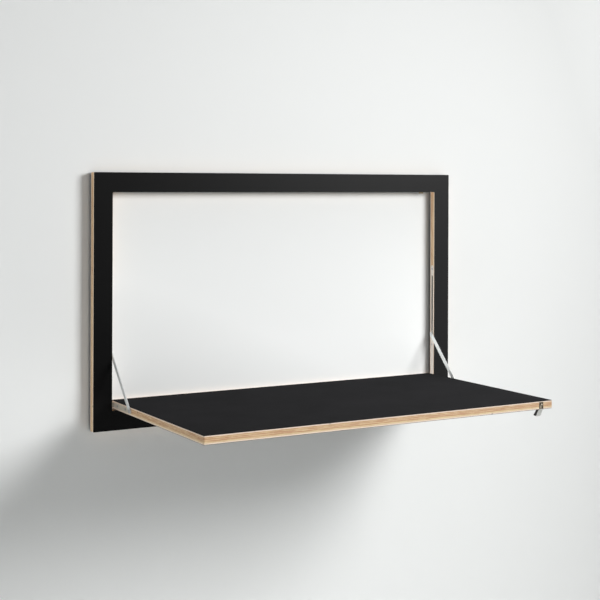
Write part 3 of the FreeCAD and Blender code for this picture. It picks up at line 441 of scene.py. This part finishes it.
def cast_lever(name, stem_level):
    """A cast lever: the tab's face buffed pale, its faces towards ±X painted dark as shade, and the stem
    above the flap's underside darker.
    """
    finish = Finish(name, metallic=0.6)
    grain = finish.noise(finish.place, CAST_GRAIN, 3)
    # Faces turned towards ±X are painted dark as shade.
    on_side = (abs(finish.parts(finish.facing)[0]) * 1.6).at_most(1.0)
    painted_shade_sides = on_side * (on_side > 0.75)
    colour = finish.blend(painted_shade_sides, finish.shades(grain, TAB_FACE, 0.85), opaque(*TAB_SIDES_PAINTED_SHADE))
    above = (finish.parts(finish.place)[2] - stem_level) * (1.0 / STEM_FADE)
    stem = (above + grain * 0.4).at_least(0.0).at_most(1.0)
    colour = finish.blend(stem, colour, opaque(*LEVER_STEM))
    roughness = finish.spread(grain, 0.34, 0.5) + painted_shade_sides * 0.15 + stem * 0.12
    return finish.set(colour, roughness, grain, CAST_DEPTH)


# ---- dressing the nodes --------------------------------------------------------------------------

def dress(names, material):
    for name in names:
        for slot in nodes[name].material_slots:
            slot.material = material


def each_side(*names):
    return ["%s_%s" % (name, side) for name in names for side in SIDES]


def each_corner(name):
    return ["%s_%s" % (name, corner) for corner in CORNERS]


def stay_lean():
    """The stay's angle from upright, from the places of its two ends."""
    foot = sum(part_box("stay_pivot_right"), Vector()) / 2
    top = sum(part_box("stay_rivet_right"), Vector()) / 2
    return math.atan2(top.y - foot.y, top.z - foot.z)


def track_space():
    """The stile's groove behind the slide rails, as |X| by Y by Z: painted dark as shade."""
    low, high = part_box("slide_rail_right")
    return ((low.x + TRACK_BEHIND, low.y + TRACK_EDGE, low.z),
            (high.x + TRACK_DEPTH, high.y - TRACK_EDGE, high.z))


def dress_boards():
    dress(["frame_front_laminate", "frame_back_laminate"], laminate("frame_laminate", "y"))
    dress(["flap_bottom_laminate"], laminate("flap_laminate", "z"))
    # The worktop's laminate is painted lighter than the frame's, a painted sheen in place of its gloss.
    dress(["flap_top_laminate"],
          laminate("worktop_laminate", "z", WORKTOP_PAINTED_SHEEN_TONE, WORKTOP_GLOSS, WORKTOP_ROUGH))
    dress(["frame_board"],
          plywood("frame_plywood", "y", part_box("frame_board"), pale=FRAME_PALE, groove=track_space()))
    dress(["flap_board"],
          plywood("flap_plywood", "z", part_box("flap_board"), pale=FLAP_PALE, painted_shade_right=FLAP_PAINTED_SHADE_RIGHT))


def dress_gear():
    dress(each_side("slide_rail"),
          brushed("rail_steel", RAIL_STEEL, "z", smooth=0.4, rough=0.55, metallic=0.3))
    dress(each_side("hinge_plate"),
          brushed("hinge_plate_steel", HINGE_PLATE_STEEL, "y", smooth=0.4, rough=0.55, metallic=0.3))
    dress(each_side("stay_arm"),
          brushed("stay_steel", STAY_STEEL, "z", (-stay_lean(), 0, 0), 0.36, 0.5, 0.25))
    dress(each_side("stay_rivet", "stay_pivot"), turned_metal("rivet_steel", RIVET_STEEL))
    dress(each_side("hinge_pin", "slide_stud") + ["latch_pin"], turned_metal("pin_steel", PIN_STEEL))
    dress(["slide_rail_screws", "hanger_plate_screws", "latch_keeper_screws", "hinge_plate_screws",
           "latch_case_screws"], turned_metal("screw_zinc", SCREW_ZINC))
    dress(each_corner("hanger_plate"), brushed("hanger_zinc", HANGER_ZINC, "x"))
    dress(each_side("hinge_bush"), turned_metal("bush_brass", BUSH_BRASS))
    dress(each_side("slide_block", "hinge_washer"), moulded("nylon", NYLON, 0.45, NYLON_DEPTH))
    dress(each_corner("wall_buffer"), moulded("buffer_rubber", RUBBER, 0.8, RUBBER_DEPTH))


def dress_latch():
    dress(["latch_case", "latch_keeper"], turned_metal("latch_bronze", LATCH_BRONZE, 0.4, 0.55, 0.5))
    lever = cast_lever("lever_steel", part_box("flap_bottom_laminate")[0].z)
    dress(["latch_lever"], lever)
    full_lever(lever)
    dress(["latch_spring"], turned_metal("spring_steel", SPRING_STEEL))


# ---- the latch's lever ---------------------------------------------------------------------------

def finished(name, shape, material):
    """An object made from a bmesh, which is used up."""
    mesh = bpy.data.meshes.new(name)
    shape.to_mesh(mesh)
    shape.free()
    mesh.materials.append(material)
    piece = bpy.data.objects.new(name, mesh)
    bpy.context.scene.collection.objects.link(piece)
    return piece


def grow_tab(shape):
    """Widens, deepens and lengthens the tab, more and more from just below the flap to its end."""
    low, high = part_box("latch_lever")
    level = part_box("flap_bottom_laminate")[0].z - FLARE_START
    for cut in range(FLARE_CUTS + 1):
        whole = shape.verts[:] + shape.edges[:] + shape.faces[:]
        height = level - FLARE_DROP * cut / FLARE_CUTS
        bmesh.ops.bisect_plane(shape, geom=whole, dist=ON_CUT, plane_co=(0.0, 0.0, height),
                               plane_no=(0.0, 0.0, 1.0))
    below = [vert for vert in shape.verts if vert.co.z < level]
    upright = Matrix.Identity(4)
    upright[1][2] = TAB_STRAIGHTEN
    upright[1][3] = -TAB_STRAIGHTEN * level
    bmesh.ops.transform(shape, matrix=upright, verts=below)
    middle = Matrix.Translation((-(low.x + high.x) / 2, -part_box("flap_board")[0].y, 0.0))
    for vert in below:
        share = min((level - vert.co.z) / FLARE_DROP, 1.0)
        grown = (1.0 + (TAB_WIDEN - 1.0) * share, 1.0 + (TAB_DEEPEN - 1.0) * share, 1.0)
        bmesh.ops.scale(shape, vec=grown, space=middle, verts=[vert])
    top = Matrix.Translation((0.0, 0.0, -level))
    bmesh.ops.scale(shape, vec=(1.0, 1.0, TAB_LENGTHEN), space=top, verts=below)


def full_lever(material):
    """The latch's lever with its finger tab at full size."""
    shape = bmesh.new()
    shape.from_mesh(nodes["latch_lever"].data)
    bmesh.ops.remove_doubles(shape, verts=shape.verts, dist=SAME_POINT)
    grow_tab(shape)
    bmesh.ops.recalc_face_normals(shape, faces=shape.faces)
    piece = finished("latch_full_lever", shape, material)
    piece.data.shade_smooth()
    piece.data.set_sharp_from_angle(angle=SHARP_EDGE)
    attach(piece, "latch")
    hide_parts("latch_lever")


# ---- room, light and camera ----------------------------------------------------------------------

def plane(name, width, depth, material):
    """A level rectangle about the origin."""
    shape = bmesh.new()
    bmesh.ops.create_grid(shape, x_segments=1, y_segments=1, size=0.5)
    bmesh.ops.scale(shape, vec=(width, depth, 1.0), verts=shape.verts)
    piece = finished(name, shape, material)
    return piece


def wall_painted_light(finish):
    """The wall's tone, with painted light: a slow painted gradient of light and shade across it, and
    painted light inside the frame's opening, most towards its bottom.
    """
    right, _, up = finish.parts(finish.place)
    painted_light_change = right * (right * WALL_PAINTED_LIGHT_BOW_RIGHT + up * WALL_PAINTED_LIGHT_TWIST + WALL_PAINTED_LIGHT_RIGHT)
    painted_light_change = painted_light_change + up * (up * WALL_PAINTED_LIGHT_BOW_UP + WALL_PAINTED_LIGHT_UP)
    tone = finish.maths("EXPONENT", painted_light_change) * WALL_TONE
    # Painted light inside the frame's opening, most towards its bottom.
    in_opening = (abs(right) < OPENING_REACH[0]) * (abs(up) < OPENING_REACH[1])
    tone = tone * (1.0 + in_opening * (OPENING_PAINTED_LIGHT - up * OPENING_PAINTED_LIGHT_SLOPE))
    return tone.at_most(WALL_PALEST).at_least(WALL_DARKEST)


def backdrop_paint(name, with_painted_light=True, seen=0.0):
    """Matte paint on the side that faces the desk; from behind and for lamps, the backdrop isn't there."""
    finish = Finish(name)
    finish.surface.inputs["Roughness"].default_value = PAINT_ROUGH
    # The wall's colour carries painted light and shade; the floor's is plain.
    if with_painted_light:
        finish.feed(finish.surface.inputs["Base Color"], finish.tint(WALL_COLOUR, wall_painted_light(finish)))
    else:
        finish.surface.inputs["Base Color"].default_value = FLOOR_COLOUR
    if seen:
        finish.surface.inputs["Emission Color"].default_value = WALL_COLOUR
        looked_at = finish.node("LightPath", {}, output="Is Camera Ray")
        finish.feed(finish.surface.inputs["Emission Strength"], looked_at * seen)
    behind = finish.node("NewGeometry", {}, output="Backfacing")
    lit_through = finish.node("LightPath", {}, output="Is Shadow Ray")
    surface = Wire(finish, finish.surface.outputs[0])
    clear = finish.node("BsdfTransparent", {})
    mixed = finish.node("MixShader", {0: behind.at_least(lit_through), 1: surface, 2: clear})
    finish.feed(finish.tree.nodes["Material Output"].inputs["Surface"], mixed)
    return finish.material


def make_room():
    wall = plane("wall", ROOM_WIDTH, ROOM_WIDTH, backdrop_paint("wall_paint"))
    wall.data.transform(Matrix.Rotation(math.radians(90), 4, "X"))
    wall.data.transform(Matrix.Translation((0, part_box("wall_buffer_top_left")[1].y, 0)))
    floor_paint = backdrop_paint("floor_paint", with_painted_light=False, seen=FLOOR_SEEN)
    floor = plane("floor", ROOM_WIDTH, ROOM_WIDTH, floor_paint)
    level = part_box("flap_top_laminate")[1].z - DESK_HEIGHT
    floor.data.transform(Matrix.Translation((0, 0, level)))


def softbox(name, place, aim, width, height, power):
    lamp = bpy.data.lights.new(name, "AREA")
    lamp.shape = "RECTANGLE"
    lamp.size = width
    lamp.size_y = height
    lamp.energy = power
    holder = bpy.data.objects.new(name, lamp)
    place = Vector(place)
    turn = (Vector(aim) - place).to_track_quat("-Z", "Y").to_matrix().to_4x4()
    holder.matrix_world = Matrix.Translation(place) @ turn
    bpy.context.scene.collection.objects.link(holder)
    return holder


def keep_off_room(lamp):
    """The lamp lights the desk and leaves the wall and the floor as they are."""
    unlit = bpy.data.collections.new("room_without_" + lamp.name)
    unlit.objects.link(bpy.data.objects["wall"])
    unlit.objects.link(bpy.data.objects["floor"])
    lamp.light_linking.receiver_collection = unlit
    for entry in unlit.collection_objects:
        entry.light_linking.link_state = "EXCLUDE"


def make_light():
    lamps = {name: softbox(name, *setting) for name, setting in LAMPS.items()}
    keep_off_room(lamps["left_fill"])
    lamps["front_fill"].visible_glossy = False
    lamps["sheen_card"].visible_diffuse = False


def make_sky():
    """A pale studio for the eye and for reflections, which lights the desk only faintly itself."""
    world = bpy.data.worlds.new("studio")
    world.use_nodes = True
    sky = Graph(world.node_tree)
    looked_at = sky.node("LightPath", {}, output="Is Camera Ray")
    mirrored = sky.node("LightPath", {}, output="Is Glossy Ray")
    through = sky.node("LightPath", {}, output="Is Transmission Ray")
    strength = SKY_LIGHT + looked_at * SKY_SEEN + mirrored * SKY_MIRRORED + through * SKY_SEEN
    sky.feed(sky.tree.nodes["Background"].inputs["Color"], opaque(1, 1, 1))
    sky.feed(sky.tree.nodes["Background"].inputs["Strength"], strength)
    bpy.context.scene.world = world


def make_camera():
    camera = bpy.data.cameras.new("camera")
    camera.sensor_width = SENSOR
    camera.lens = LENS
    camera.shift_y = RISE
    holder = bpy.data.objects.new("camera", camera)
    turn = Matrix.Rotation(-EYE_TURN, 4, "Z") @ Matrix.Rotation(math.radians(90), 4, "X")
    holder.matrix_world = Matrix.Translation(EYE) @ turn @ Matrix.Rotation(EYE_TILT, 4, "Z")
    bpy.context.scene.collection.objects.link(holder)
    bpy.context.scene.camera = holder


dress_boards()
dress_gear()
dress_latch()
make_room()
make_light()
make_sky()
make_camera()
bpy.context.scene.view_settings.view_transform = "Standard"
